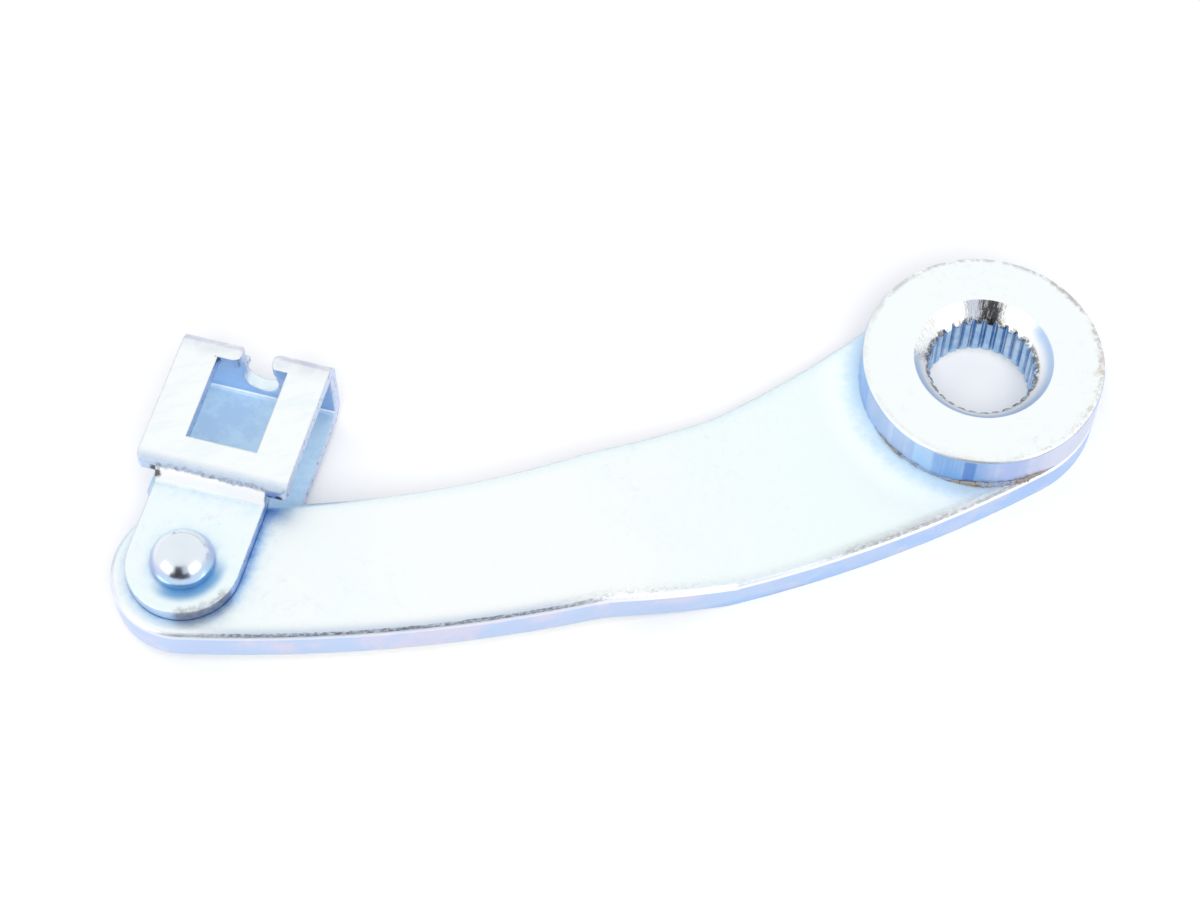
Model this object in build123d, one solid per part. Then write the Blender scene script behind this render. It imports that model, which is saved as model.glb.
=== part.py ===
# Drum brake lever of a light motorcycle: a cranked steel plate with a serrated hub at one end
# and a folded cable clip that swings on a rivet at the other.
#
# Frame: the origin lies on the bore's axis at the hub's back face. +Z runs along the bore
# towards the boss, and +X runs from the clip's pivot towards the hub. Lengths are millimetres
# and angles are degrees. At rest the clip stands off the lever's hollow edge.
from build123d import *

import os
from math import atan2, cos, degrees, hypot, radians, sin, sqrt, tan

# Lever plate
centre_distance = 87.5
plate_thickness = 4.0
end_radius = 7.8
head_radius = 13.0
upper_edge_radius = 106.0
lower_near_radius = 160.0
lower_far_radius = 147.0
lower_start_angle = 251.2
lower_finish_angle = 283.2
waist_radius = 30.0
rolled_edge_radius = 0.8

# Crank of the plate, measured square to its two bend lines
crank_offset = 3.2
crank_length = 14.0
crank_middle_x = -38.5
crank_middle_y = -7.0
crank_turn = -12.0
crank_bend_radius = 3.0

# Hub
boss_radius = head_radius
boss_height = 4.8
boss_edge_radius = 0.5
spigot_radius = 9.0
spigot_clearance = 0.02
tooth_count = 30
tooth_tip_radius = 5.6
tooth_depth = 0.4
tooth_tip_angle = 5.6
tooth_root_angle = 1.8
countersink_radius = 7.5
countersink_depth = 2.0
back_bevel_radius = 7.4
back_bevel_depth = 1.8

# Cable clip, measured from its pivot along the clip
sheet_thickness = 1.5
clip_width = 16.4
clip_reach = 25.6
clip_rest_angle = 58.5
ear_width = 12.0
ear_play = 0.1
ear_joggle = 2.5
joggle_start = 8.3
joggle_run = 0.9
joggle_nose_radius = 2.2
joggle_foot_radius = 0.3
shoulder_reach = 9.2
shoulder_corner_radius = 0.6
shoulder_hem = 0.5
fold_inner_radius = 0.2
foot_inner_radius = 0.5
window_width = 7.8
window_start = 12.9
window_length = 10.1
neck_width = 3.4
neck_shift = 0.25
neck_lip_radius = 0.8
neck_flare_radius = 1.3
seat_radius = 2.0
seat_shift = 0.1
seat_floor = 4.4

# Pivot rivet
shank_radius = 2.5
shank_running_clearance = 0.08
shank_seat_clearance = 0.02
rivet_head_radius = 3.3
head_rim_height = 0.9
rivet_dome_height = 2.4
tail_radius = 3.3
tail_height = 1.5
tail_edge_radius = 0.6

# Heights that the sizes above lead to
hub_height = plate_thickness + boss_height
pivot_floor = crank_offset
pivot_top = crank_offset + plate_thickness
front_ear_floor = pivot_top + ear_play
front_ear_top = front_ear_floor + sheet_thickness
front_plate_top = front_ear_top + ear_joggle
front_plate_floor = front_plate_top - sheet_thickness
back_plate_top = pivot_floor - ear_play
back_plate_floor = back_plate_top - sheet_thickness

# How far a cutter runs past the solid that it cuts, and one that passes through every plate
overrun = 5.0
through_cut = 2 * (front_plate_top + overrun)


def at_angle(centre, radius, angle):
    """Return the point at a polar angle round a centre, as an (x, y) pair."""
    x = centre[0] + radius * cos(radians(angle))
    y = centre[1] + radius * sin(radians(angle))
    return (x, y)


def circle_crossing(first, first_radius, second, second_radius, side):
    """Return one crossing of two circles: side is 1 left of the line between them, or -1."""
    span_x = second[0] - first[0]
    span_y = second[1] - first[1]
    span = hypot(span_x, span_y)
    along = (first_radius**2 - second_radius**2 + span**2) / (2 * span)
    across = side * sqrt(first_radius**2 - along**2)
    x = first[0] + (along * span_x - across * span_y) / span
    y = first[1] + (along * span_y + across * span_x) / span
    return (x, y)


def arc_about(centre, radius, start, finish, towards):
    """Return the arc about a centre from start to finish whose middle lies towards a point."""
    aim = Vector(towards[0] - centre[0], towards[1] - centre[1]).normalized() * radius
    return ThreePointArc(start, (centre[0] + aim.X, centre[1] + aim.Y), finish)


def rounded_face(corners):
    """Return a straight-sided face from (x, y, radius) corners, where radius 0 stays sharp."""
    face = make_face(Polyline([(x, y) for x, y, _ in corners], close=True))
    for x, y, radius in corners:
        if radius > 0:
            face = fillet(face.vertices().sort_by_distance(Vector(x, y))[0], radius)
    return face


def lever_outline():
    """Return the lever's plan outline: two rounded ends joined by one hollow and two full arcs."""
    pivot = (-centre_distance, 0)
    hub = (0, 0)
    upper_centre = circle_crossing(
        pivot, upper_edge_radius + end_radius, hub, upper_edge_radius + head_radius, 1
    )
    near_centre = at_angle(pivot, end_radius - lower_near_radius, lower_start_angle)
    far_centre = at_angle(hub, head_radius - lower_far_radius, lower_finish_angle)
    end_foot = at_angle(pivot, end_radius, lower_start_angle)
    head_foot = at_angle(hub, head_radius, lower_finish_angle)
    waist = circle_crossing(near_centre, lower_near_radius, far_centre, lower_far_radius, -1)

    end_share = end_radius / (upper_edge_radius + end_radius)
    end_touch = (
        pivot[0] + (upper_centre[0] - pivot[0]) * end_share,
        pivot[1] + (upper_centre[1] - pivot[1]) * end_share,
    )
    head_share = head_radius / (upper_edge_radius + head_radius)
    head_touch = (upper_centre[0] * head_share, upper_centre[1] * head_share)

    near_half = (end_foot[0] + waist[0]) / 2, (end_foot[1] + waist[1]) / 2
    far_half = (head_foot[0] + waist[0]) / 2, (head_foot[1] + waist[1]) / 2
    upper_half = (end_touch[0] + head_touch[0]) / 2, (end_touch[1] + head_touch[1]) / 2
    edges = [
        arc_about(pivot, end_radius, end_touch, end_foot, (-2 * centre_distance, 0)),
        arc_about(near_centre, lower_near_radius, end_foot, waist, near_half),
        arc_about(far_centre, lower_far_radius, waist, head_foot, far_half),
        arc_about(hub, head_radius, head_foot, head_touch, (centre_distance, 0)),
        arc_about(upper_centre, upper_edge_radius, head_touch, end_touch, upper_half),
    ]
    outline = make_face(Wire(edges))
    waist_corner = outline.vertices().sort_by_distance(Vector(waist[0], waist[1]))[0]
    return fillet(waist_corner, waist_radius)


def cranked_slab():
    """Return a wide cranked plate from which the lever's outline is cut."""
    reach = 2 * centre_distance
    half_run = crank_length / 2
    slope = degrees(atan2(crank_offset, crank_length))
    lead = plate_thickness * tan(radians(slope / 2))
    inner = crank_bend_radius
    outer = crank_bend_radius + plate_thickness
    strip = rounded_face(
        [
            (-reach, pivot_top, 0),
            (-half_run + lead, pivot_top, outer),
            (half_run + lead, plate_thickness, inner),
            (reach, plate_thickness, 0),
            (reach, 0, 0),
            (half_run, 0, outer),
            (-half_run, crank_offset, inner),
            (-reach, crank_offset, 0),
        ]
    )
    crank_plane = Plane(
        origin=(crank_middle_x, crank_middle_y, 0),
        x_dir=(cos(radians(crank_turn)), sin(radians(crank_turn)), 0),
        z_dir=(sin(radians(crank_turn)), -cos(radians(crank_turn)), 0),
    )
    return extrude(crank_plane * strip, amount=centre_distance, both=True)


def face_rim(solid):
    """Return the edges round a solid's upward faces, without those between two such faces."""
    upward = [face for face in solid.faces() if face.normal_at(face.center()).Z > 0.7]
    seen = [edge for face in upward for edge in face.edges()]
    return [edge for edge in seen if sum(edge.is_same(other) for other in seen) == 1]


def lever_arm():
    """Return the cranked plate with its rolled upper edge, hub seat and pivot hole."""
    top = pivot_top + overrun
    blank = extrude(lever_outline(), amount=top) & cranked_slab()
    blank = fillet(face_rim(blank), rolled_edge_radius)
    hub_seat = Cylinder(spigot_radius + spigot_clearance, through_cut)
    pivot_hole = Cylinder(shank_radius + shank_running_clearance, through_cut)
    return blank - hub_seat - Pos(-centre_distance, 0, 0) * pivot_hole


def serration_face():
    """Return the bore's section: tooth tips on the small radius and roots on the large one."""
    pitch = 360 / tooth_count
    root_radius = tooth_tip_radius + tooth_depth
    edges = []
    for tooth in range(tooth_count):
        middle = tooth * pitch
        tip_from = at_angle((0, 0), tooth_tip_radius, middle - tooth_tip_angle / 2)
        tip_mid = at_angle((0, 0), tooth_tip_radius, middle)
        tip_to = at_angle((0, 0), tooth_tip_radius, middle + tooth_tip_angle / 2)
        root_middle = middle + pitch / 2
        root_from = at_angle((0, 0), root_radius, root_middle - tooth_root_angle / 2)
        root_mid = at_angle((0, 0), root_radius, root_middle)
        root_to = at_angle((0, 0), root_radius, root_middle + tooth_root_angle / 2)
        next_tip = at_angle((0, 0), tooth_tip_radius, middle + pitch - tooth_tip_angle / 2)
        edges.append(ThreePointArc(tip_from, tip_mid, tip_to))
        edges.append(Line(tip_to, root_from))
        edges.append(ThreePointArc(root_from, root_mid, root_to))
        edges.append(Line(root_to, next_tip))
    return make_face(Wire(edges))


def splined_hub():
    """Return the flanged boss with its spigot, serrated bore and countersink."""
    spigot = Pos(0, 0, plate_thickness / 2) * Cylinder(spigot_radius, plate_thickness)
    boss = Pos(0, 0, plate_thickness + boss_height / 2) * Cylinder(boss_radius, boss_height)
    rim = boss.edges().filter_by(GeomType.CIRCLE).sort_by(Axis.Z)[-1]
    body = fillet(rim, boss_edge_radius) + spigot
    teeth = Pos(0, 0, -overrun) * extrude(serration_face(), amount=hub_height + 2 * overrun)
    mouth = Pos(0, 0, hub_height - countersink_depth / 2) * Cone(
        tooth_tip_radius, countersink_radius, countersink_depth
    )
    lead_in = Pos(0, 0, back_bevel_depth / 2) * Cone(
        back_bevel_radius, tooth_tip_radius, back_bevel_depth
    )
    return body - teeth - mouth - lead_in


def folded_strip(width):
    """Return the clip's folded sheet, drawn out to a width: ear, joggle, plates and wall."""
    start = -ear_width / 2 - overrun
    web = sheet_thickness * hypot(joggle_run, ear_joggle) / ear_joggle
    joggle_end = joggle_start + joggle_run
    wall_inside = clip_reach - sheet_thickness
    section = rounded_face(
        [
            (start, front_ear_top, 0),
            (joggle_start, front_ear_top, joggle_foot_radius),
            (joggle_end, front_plate_top, joggle_nose_radius),
            (clip_reach, front_plate_top, fold_inner_radius + sheet_thickness),
            (clip_reach, back_plate_floor, foot_inner_radius + sheet_thickness),
            (start, back_plate_floor, 0),
            (start, back_plate_top, 0),
            (wall_inside, back_plate_top, foot_inner_radius),
            (wall_inside, front_plate_floor, fold_inner_radius),
            (joggle_end + web, front_plate_floor, joggle_nose_radius - sheet_thickness),
            (joggle_start + web, front_ear_floor, joggle_foot_radius + sheet_thickness),
            (start, front_ear_floor, 0),
        ]
    )
    side_plane = Plane(origin=(0, 0, 0), x_dir=(0, 1, 0), z_dir=(1, 0, 0))
    return extrude(side_plane * section, amount=width / 2, both=True)


def eared_strip():
    """Return the clip's narrow strip, with its two round ends."""
    tip = clip_reach + overrun
    outline = Circle(ear_width / 2) + Pos(0, tip / 2) * Rectangle(ear_width, tip)
    return folded_strip(2 * ear_width) & extrude(outline, amount=through_cut)


def shoulder_strips():
    """Return the two strips that widen the clip past its ears, with rounded shoulders."""
    half = clip_width / 2
    tip = clip_reach + overrun
    radius = shoulder_corner_radius
    outline = rounded_face(
        [
            (-half, shoulder_reach, radius),
            (half, shoulder_reach, radius),
            (half, tip, 0),
            (-half, tip, 0),
        ]
    )
    wide = folded_strip(2 * clip_width) & extrude(outline, amount=through_cut)
    core = Box(ear_width, 2 * tip, through_cut)
    web_height = front_plate_floor - shoulder_hem - back_plate_top
    web = Pos(0, shoulder_reach, back_plate_top + web_height / 2) * Box(
        2 * clip_width, 2 * (window_start - shoulder_reach), web_height
    )
    return wide - core - web


def clip_cutouts():
    """Return the cutters for the window with its neck over the fold, and for the cable seat."""
    seat_height = seat_floor + seat_radius
    window_end = window_start + window_length
    neck_end = clip_reach + overrun
    window = Pos(0, window_start + window_length / 2) * Rectangle(window_width, window_length)
    neck = Pos(neck_shift, (window_start + neck_end) / 2) * Rectangle(
        neck_width, neck_end - window_start
    )
    opening = window + neck
    flare_width = neck_width + 4 * neck_flare_radius
    mouth = neck + Pos(neck_shift, clip_reach + overrun / 2) * Rectangle(flare_width, overrun)
    for side in (-1, 1):
        lip = Vector(neck_shift + side * neck_width / 2, window_end)
        opening = fillet(opening.vertices().sort_by_distance(lip)[0], neck_lip_radius)
        corner = Vector(neck_shift + side * neck_width / 2, clip_reach)
        mouth = fillet(mouth.vertices().sort_by_distance(corner)[0], neck_flare_radius)
    front_cut = Pos(0, 0, seat_height) * extrude(opening, amount=front_plate_top)
    front_cut += Pos(0, 0, seat_height + seat_radius) * extrude(mouth, amount=front_plate_top)
    seat = Pos(seat_shift, clip_reach, seat_height) * Rot(90, 0, 0) * Cylinder(
        seat_radius, 2 * overrun
    )
    return front_cut + seat


def pivot_place():
    """Return the place of the clip's own frame: its pivot, turned to the rest angle."""
    return Pos(-centre_distance, 0, 0) * Rot(0, 0, clip_rest_angle - 90)


def cable_clip():
    """Return the folded clip in its rest pose."""
    blank = eared_strip() + shoulder_strips()
    rivet_hole = Cylinder(shank_radius + shank_seat_clearance, through_cut)
    return pivot_place() * (blank - clip_cutouts() - rivet_hole)


def pivot_rivet():
    """Return the rivet: domed head on the front ear, shank and upset tail under the back ear."""
    shank_length = front_ear_top - back_plate_floor
    shank = Pos(0, 0, back_plate_floor + shank_length / 2) * Cylinder(shank_radius, shank_length)
    rim = Pos(0, 0, front_ear_top + head_rim_height / 2) * Cylinder(
        rivet_head_radius, head_rim_height
    )
    dome_base = front_ear_top + head_rim_height
    ball_radius = (rivet_head_radius**2 + rivet_dome_height**2) / (2 * rivet_dome_height)
    ball = Pos(0, 0, dome_base + rivet_dome_height - ball_radius) * Sphere(ball_radius)
    dome_column = Pos(0, 0, dome_base + rivet_dome_height / 2) * Cylinder(
        2 * rivet_head_radius, rivet_dome_height
    )
    tail = Pos(0, 0, back_plate_floor - tail_height / 2) * Cylinder(tail_radius, tail_height)
    tail_rim = tail.edges().filter_by(GeomType.CIRCLE).sort_by(Axis.Z)[0]
    tail = fillet(tail_rim, tail_edge_radius)
    return Pos(-centre_distance, 0, 0) * (shank + rim + (ball & dome_column) + tail)


nodes = {
    "lever_arm": lever_arm(),
    "splined_hub": splined_hub(),
    "cable_clip": cable_clip(),
    "pivot_rivet": pivot_rivet(),
}

os.makedirs("parts", exist_ok=True)
for node_name, shape in nodes.items():
    export_step(shape, f"parts/{node_name}.step")
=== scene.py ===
"""Dresses the operating lever of a small drum brake and lights it on a plain pale table.

The lever is bright zinc plated steel: a cranked plate, a serrated hub, a folded cable clip and the
rivet that the clip swings on. All lengths are metres in the lever's own frame: the origin is on the
bore's axis at the hub's back face, and +Z points along the bore towards the boss.
"""

import logging
import math
from dataclasses import dataclass
from enum import Enum

import bmesh
import bpy
from mathutils import Euler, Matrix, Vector, noise


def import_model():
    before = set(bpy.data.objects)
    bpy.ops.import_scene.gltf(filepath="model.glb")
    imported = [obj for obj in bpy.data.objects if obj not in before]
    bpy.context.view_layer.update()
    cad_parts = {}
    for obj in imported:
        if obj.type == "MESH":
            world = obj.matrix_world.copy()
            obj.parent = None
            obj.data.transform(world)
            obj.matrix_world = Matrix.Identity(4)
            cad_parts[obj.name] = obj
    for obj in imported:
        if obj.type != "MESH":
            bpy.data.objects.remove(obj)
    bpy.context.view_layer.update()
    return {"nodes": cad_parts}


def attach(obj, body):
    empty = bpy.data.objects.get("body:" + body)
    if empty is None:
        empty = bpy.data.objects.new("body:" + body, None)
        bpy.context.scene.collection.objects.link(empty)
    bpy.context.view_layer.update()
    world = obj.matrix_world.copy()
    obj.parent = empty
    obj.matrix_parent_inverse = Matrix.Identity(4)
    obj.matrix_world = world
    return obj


LOG = logging.getLogger("brake_lever")
MM = 0.001
DEGREES = 180.0 / math.pi

Colour = tuple[float, float, float]
Point = tuple[float, float, float]
Span = tuple[float, float]
Socket = bpy.types.NodeSocket
Feed = Socket | float | tuple[float, ...] | Vector
Feeds = dict[str | int, Feed]


class Body(Enum):
    """The rigid bodies that pieces ride on."""

    ARM = "arm"
    CLIP = "clip"


class Kind(Enum):
    """The kinds of socket that a node group puts on its outside."""

    NUMBER = "NodeSocketFloat"
    VECTOR = "NodeSocketVector"
    COLOUR = "NodeSocketColor"


class Wiring:
    """Adds nodes to a node tree and links them with few words."""

    place: Socket | None = None

    def __init__(self, tree: bpy.types.NodeTree) -> None:
        """Holds the node tree of a material, a world or a group."""
        self.tree = tree

    def add(self, kind: str, feeds: Feeds | None = None, **settings: object) -> bpy.types.Node:
        """Adds a node, sets its plain properties and feeds its inputs.

        Args:
            kind: The node's type name in Blender.
            feeds: What its named or numbered inputs get.
            settings: Properties to set on the node.

        Returns:
            The new node.
        """
        node = self.tree.nodes.new(kind)
        for name, value in settings.items():
            setattr(node, name, value)
        for key, source in (feeds or {}).items():
            self.feed(node.inputs[key], source)
        return node

    def feed(self, target: Socket, source: Feed) -> None:
        """Links a socket into another, or sets a constant on it.

        Args:
            target: The input socket.
            source: An output socket, or the value to set.
        """
        if isinstance(source, bpy.types.NodeSocket):
            self.tree.links.new(source, target)
        elif target.type == "RGBA" and len(source) == 3:
            target.default_value = (*source, 1.0)
        else:
            target.default_value = source

    def math(self, operation: str, first: Feed, second: Feed = 0.0, clamp: bool = False) -> Socket:
        """Works out one arithmetic step.

        Args:
            operation: The Math node's operation.
            first: The first number.
            second: The second number, where the operation has one.
            clamp: Whether the result stays between 0 and 1.

        Returns:
            The result's socket.
        """
        node = self.add("ShaderNodeMath", {0: first, 1: second}, operation=operation, use_clamp=clamp)
        return node.outputs[0]

    def times(self, *values: Feed) -> Feed:
        """Multiplies numbers.

        Args:
            values: The numbers, masks or shares.

        Returns:
            Their product.
        """
        product = values[0]
        for value in values[1:]:
            product = self.math("MULTIPLY", product, value)
        return product

    def apart(self, first: Feed, second: Feed) -> Socket:
        """Returns the distance between two numbers."""
        return self.math("ABSOLUTE", self.math("SUBTRACT", first, second))

    def flat_length(self, x: Socket, y: Socket) -> Socket:
        """Returns the length of a level vector."""
        return self.math("SQRT", self.math("ADD", self.times(x, x), self.times(y, y)))

    def measure(self, operation: str, first: Feed, second: Feed = (0.0, 0.0, 0.0)) -> Socket:
        """Works out one number from vectors.

        Args:
            operation: The Vector Math node's operation, one with a number for its result.
            first: The first vector.
            second: The second vector, where the operation has one.

        Returns:
            The number's socket.
        """
        node = self.add("ShaderNodeVectorMath", {0: first, 1: second}, operation=operation)
        return node.outputs["Value"]

    def ramp(self, value: Feed, low: float, high: float, to_low: float = 0.0,
             to_high: float = 1.0) -> Socket:
        """Maps a number smoothly from one range to another and holds it there.

        Args:
            value: The number to map.
            low: Where the ramp starts.
            high: Where the ramp ends.
            to_low: The result at and before the start.
            to_high: The result at and after the end.

        Returns:
            The result's socket.
        """
        node = self.add("ShaderNodeMapRange", {
            "Value": value, "From Min": low, "From Max": high, "To Min": to_low, "To Max": to_high,
        }, interpolation_type="SMOOTHSTEP", clamp=True)
        return node.outputs["Result"]

    def fade(self, value: Feed, low: float, high: float) -> Socket:
        """Returns 1 below a range and 0 above it, with a smooth fall between."""
        return self.ramp(value, low, high, 1.0, 0.0)

    def blend(self, share: Feed, first: Feed, second: Feed) -> Socket:
        """Blends two colours.

        Args:
            share: How much of the second colour shows.
            first: The colour at a share of 0.
            second: The colour at a share of 1.

        Returns:
            The blended colour's socket.
        """
        node = self.add("ShaderNodeMix", {"Factor": share, "A": first, "B": second}, data_type="RGBA")
        return next(out for out in node.outputs if out.type == "RGBA")

    def parts(self, vector: Feed) -> tuple[Socket, ...]:
        """Splits a vector into the sockets of its x, y and z."""
        return tuple(self.add("ShaderNodeSeparateXYZ", {0: vector}).outputs)

    def joined(self, x: Feed, y: Feed = 0.0) -> Socket:
        """Joins one or two numbers to a level vector."""
        return self.add("ShaderNodeCombineXYZ", {0: x, 1: y}).outputs[0]

    def brushed(self, turn: float, squeeze: float) -> Socket:
        """Turns and squeezes the place, so that noise read there runs in streaks.

        Args:
            turn: The turn about +Z.
            squeeze: The scale along the streaks.

        Returns:
            The changed place's socket.
        """
        node = self.add("ShaderNodeMapping", {
            "Vector": self.place, "Rotation": (0.0, 0.0, turn), "Scale": (squeeze, 1.0, 1.0),
        })
        return node.outputs[0]

    def grain(self, scale: Feed, detail: float, rough: float, place: Feed | None = None) -> Socket:
        """Reads fractal noise.

        Args:
            scale: Features for each metre.
            detail: The number of finer layers.
            rough: How strong the finer layers are.
            place: Where the noise is read, if not at the tree's own place.

        Returns:
            The noise value's socket.
        """
        node = self.add("ShaderNodeTexNoise", {
            "Vector": self.place if place is None else place, "Scale": scale, "Detail": detail,
            "Roughness": rough,
        })
        return node.outputs["Fac"]

    def roughen(self, value: Feed, amount: Feed, scale: float, detail: float, rough: float) -> Socket:
        """Shakes a number with noise, so that what is masked by it gets a ragged border.

        Args:
            value: The number.
            amount: How far the noise moves it, from its lowest to its highest.
            scale: Features for each metre.
            detail: The number of finer layers.
            rough: How strong the finer layers are.

        Returns:
            The shaken number's socket.
        """
        shake = self.math("SUBTRACT", self.grain(scale, detail, rough), 0.5)
        return self.math("ADD", value, self.times(shake, amount))


class Effect(Wiring):
    """A shader node group that takes a position, built once and placed where it is needed."""

    def __init__(self, name: str) -> None:
        """Starts a group.

        Args:
            name: The group's name.
        """
        super().__init__(bpy.data.node_groups.new(name, "ShaderNodeTree"))
        self.inside = self.add("NodeGroupInput")
        self.outside = self.add("NodeGroupOutput")
        self.place = self.takes("Position", Kind.VECTOR)

    def takes(self, name: str, kind: Kind, value: float | None = None) -> Socket:
        """Adds an input.

        Args:
            name: The input's name.
            kind: What it carries.
            value: Its value where nothing is linked.

        Returns:
            The socket to read inside the group.
        """
        item = self.tree.interface.new_socket(name=name, in_out="INPUT", socket_type=kind.value)
        if value is not None:
            item.default_value = value
        return self.inside.outputs[name]

    def gives(self, name: str, kind: Kind, source: Socket) -> None:
        """Adds an output.

        Args:
            name: The output's name.
            kind: What it carries.
            source: The socket inside the group that feeds it.
        """
        self.tree.interface.new_socket(name=name, in_out="OUTPUT", socket_type=kind.value)
        self.tree.links.new(source, self.outside.inputs[name])


class EffectSet:
    """The node groups that the finishes place, each built once."""

    def __init__(self) -> None:
        """Builds every effect once."""
        self.mottle = self.build_mottle()
        self.wear = self.build_edge_wear()
        self.grime = self.build_grime()
        self.band = self.build_rolled_band()
        self.grain = self.build_grain()
        self.corner_shade = self.build_corner_shade()
        self.spot = self.build_spot()

    @staticmethod
    def build_mottle() -> bpy.types.NodeTree:
        """Builds the cloudy tint of zinc plating, with one colour on faces and a darker, bluer painted shade
        on walls.

        Returns:
            The group's node tree.
        """
        group = Effect("plating_mottle")
        normal = group.takes("Normal", Kind.VECTOR)
        face = group.takes("Face Colour", Kind.COLOUR)
        wall = group.takes("Wall Colour", Kind.COLOUR)
        warm = group.takes("Warm Wall Colour", Kind.COLOUR)
        cloud = group.takes("Cloud Colour", Kind.COLOUR)
        fleck = group.takes("Fleck Colour", Kind.COLOUR)
        amount = group.takes("Cloud Amount", Kind.NUMBER, 0.8)
        flecks = group.takes("Fleck Amount", Kind.NUMBER, 0.2)
        size = group.takes("Cloud Scale", Kind.NUMBER, 160.0)

        walls = group.fade(group.math("ABSOLUTE", group.parts(normal)[2]), 0.25, 0.75)
        broad = group.ramp(group.grain(size, 5.0, 0.62), 0.40, 0.66)
        tone = group.blend(group.times(broad, amount), face, cloud)
        patches = group.ramp(group.grain(group.times(size, 1.3), 3.0, 0.6), 0.46, 0.62)
        # Walls get a painted shade, darker and bluer, in place of the reflection they would catch.
        tone = group.blend(walls, tone, group.blend(patches, wall, warm))
        speckle = group.ramp(group.grain(group.times(size, 7.0), 4.0, 0.7), 0.52, 0.78)
        blotch = group.ramp(group.grain(group.times(size, 0.6), 2.0, 0.5), 0.35, 0.7)
        tone = group.blend(group.times(speckle, blotch, flecks), tone, fleck)
        group.gives("Colour", Kind.COLOUR, tone)
        group.gives("Clouds", Kind.NUMBER, broad)
        return group.tree

    @staticmethod
    def build_edge_wear() -> bpy.types.NodeTree:
        """Builds a broken mask along sharp edges.

        Returns:
            The group's node tree.
        """
        group = Effect("edge_wear")
        width = group.takes("Width", Kind.NUMBER, 0.15 * MM)
        breaks = group.takes("Break Scale", Kind.NUMBER, 900.0)
        rounded = group.add("ShaderNodeBevel", {"Radius": width}, samples=4).outputs[0]
        sharp = group.add("ShaderNodeNewGeometry").outputs["Normal"]
        corner = group.fade(group.measure("DOT_PRODUCT", rounded, sharp), 0.80, 0.99)
        gaps = group.ramp(group.grain(breaks, 3.0, 0.6), 0.35, 0.6)
        group.gives("Mask", Kind.NUMBER, group.times(corner, gaps))
        return group.tree

    @staticmethod
    def build_grime() -> bpy.types.NodeTree:
        """Builds a mask of dirt that sits in narrow corners.

        Returns:
            The group's node tree.
        """
        group = Effect("corner_grime")
        reach = group.takes("Reach", Kind.NUMBER, 0.5 * MM)
        breaks = group.takes("Break Scale", Kind.NUMBER, 700.0)
        openness = group.add("ShaderNodeAmbientOcclusion", {"Distance": reach}, samples=6).outputs["AO"]
        gaps = group.ramp(group.grain(breaks, 4.0, 0.65), 0.38, 0.62)
        group.gives("Mask", Kind.NUMBER, group.times(group.fade(openness, 0.15, 0.75), gaps))
        return group.tree

    @staticmethod
    def build_rolled_band() -> bpy.types.NodeTree:
        """Builds the marks on the plate's rolled edge: shearing marks, stains and painted light.

        Along the full edge a torn, speckled streak, partly darkened as a painted reflection, runs in a
        soft grey painted shade near the clip, brown stains follow further on, and a bright painted
        highlight shows where the rounding meets the wall. The hollow edge gets a cool painted shade,
        with a thin brown line.

        Returns:
            The group's node tree.
        """
        group = Effect("rolled_band")
        normal = group.takes("Normal", Kind.VECTOR)
        torn_from = group.takes("Torn From", Kind.NUMBER, -92.0 * MM)
        torn_to = group.takes("Torn To", Kind.NUMBER, -50.0 * MM)
        marred_from = group.takes("Marred From", Kind.NUMBER, -26.0 * MM)
        breaks = group.takes("Break Scale", Kind.NUMBER, 3400.0)

        along = group.parts(group.place)[0]
        _, outward, tilt = group.parts(normal)
        full_side = group.fade(outward, -0.14, 0.0)
        hollow_side = group.ramp(outward, 0.10, 0.30)
        begun = group.math("SUBTRACT", along, torn_from)
        ended = group.math("SUBTRACT", along, torn_to)
        near = group.times(group.ramp(begun, 0.0, 9.0 * MM), group.fade(ended, -4.0 * MM, 6.0 * MM))
        far = group.ramp(ended, 4.0 * MM, 14.0 * MM)
        marred = group.ramp(group.math("SUBTRACT", along, marred_from), 0.0, 8.0 * MM)

        squeeze = (0.45, 0.9, 1.6)
        drawn = group.add("ShaderNodeVectorMath", {0: group.place, 1: squeeze}, operation="MULTIPLY")
        streaks = group.grain(breaks, 6.0, 0.8, drawn.outputs[0])
        haze_width = 2.4 * MM
        softened = group.add("ShaderNodeBevel", {"Radius": haze_width}, samples=8)
        leaning = group.parts(softened.outputs[0])[1]
        # Painted shade on the rounding, found from softened normals.
        haze = group.math("MAXIMUM", group.fade(leaning, -0.50, -0.03), group.fade(tilt, 0.86, 0.99))
        kept = group.ramp(tilt, 0.50, 0.62)
        core = group.times(group.fade(tilt, 0.84, 0.96), kept)

        # The torn streak: speckled shear marks, partly darkened as a painted reflection on the rounding.
        ragged = group.ramp(group.math("ADD", streaks, group.times(core, 0.26)), 0.60, 0.86)
        scarred = group.times(marred, 0.45)
        torn_dark_sheen = group.times(ragged, haze, kept, group.math("MAXIMUM", near, scarred), full_side)
        strength = group.math("ADD", group.times(near, 0.85), group.times(far, 0.30))
        near_edge = group.math("MAXIMUM", full_side, group.fade(leaning, -0.20, -0.03))
        soft = group.times(haze, kept, near_edge)
        haze_shade = group.times(soft, group.math("MAXIMUM", strength, scarred))

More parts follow.
